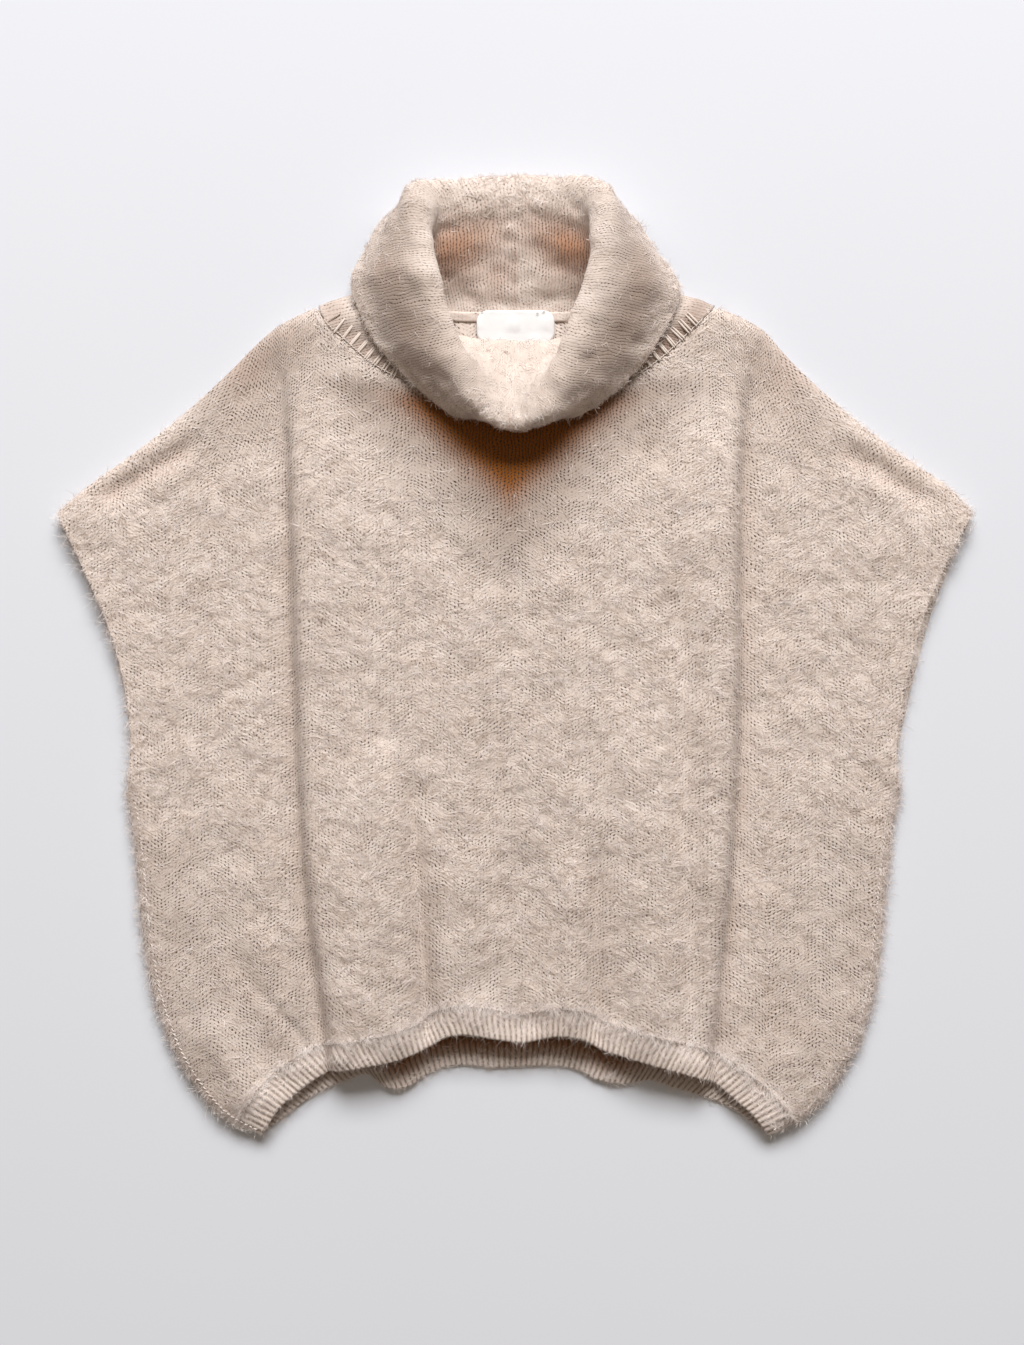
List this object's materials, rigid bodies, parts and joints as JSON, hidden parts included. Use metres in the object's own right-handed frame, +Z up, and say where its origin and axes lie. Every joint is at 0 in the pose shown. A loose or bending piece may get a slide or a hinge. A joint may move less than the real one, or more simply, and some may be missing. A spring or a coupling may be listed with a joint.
{
  "type": "oversized sweater",
  "caption": "Oversized poncho-cut knitted sweater with a deep folded cowl collar, open armholes and ribbed hem bands, laid flat face up.",
  "frame": {"origin": "middle of the footprint, on the surface that the garment lies on", "axes": "+Y towards the collar, +X towards the wearer's left, +Z up from the back to the front"},
  "size_m": [0.7297, 0.7634, 0.0542],
  "materials": {
    "brushed_knit": "brushed mohair-type knit, oatmeal cream, deep soft nap",
    "rib_knit": "ribbed knit of the same yarn, light nap",
    "woven_label": "plain blank woven label, off-white satin"
  },
  "bodies": {
    "root": {"front_panel": "brushed_knit", "back_panel": "brushed_knit", "front_hem_rib": "rib_knit", "back_hem_rib": "rib_knit", "collar": "brushed_knit", "neck_tape": "rib_knit", "label": "woven_label"}
  },
  "joints": []
}
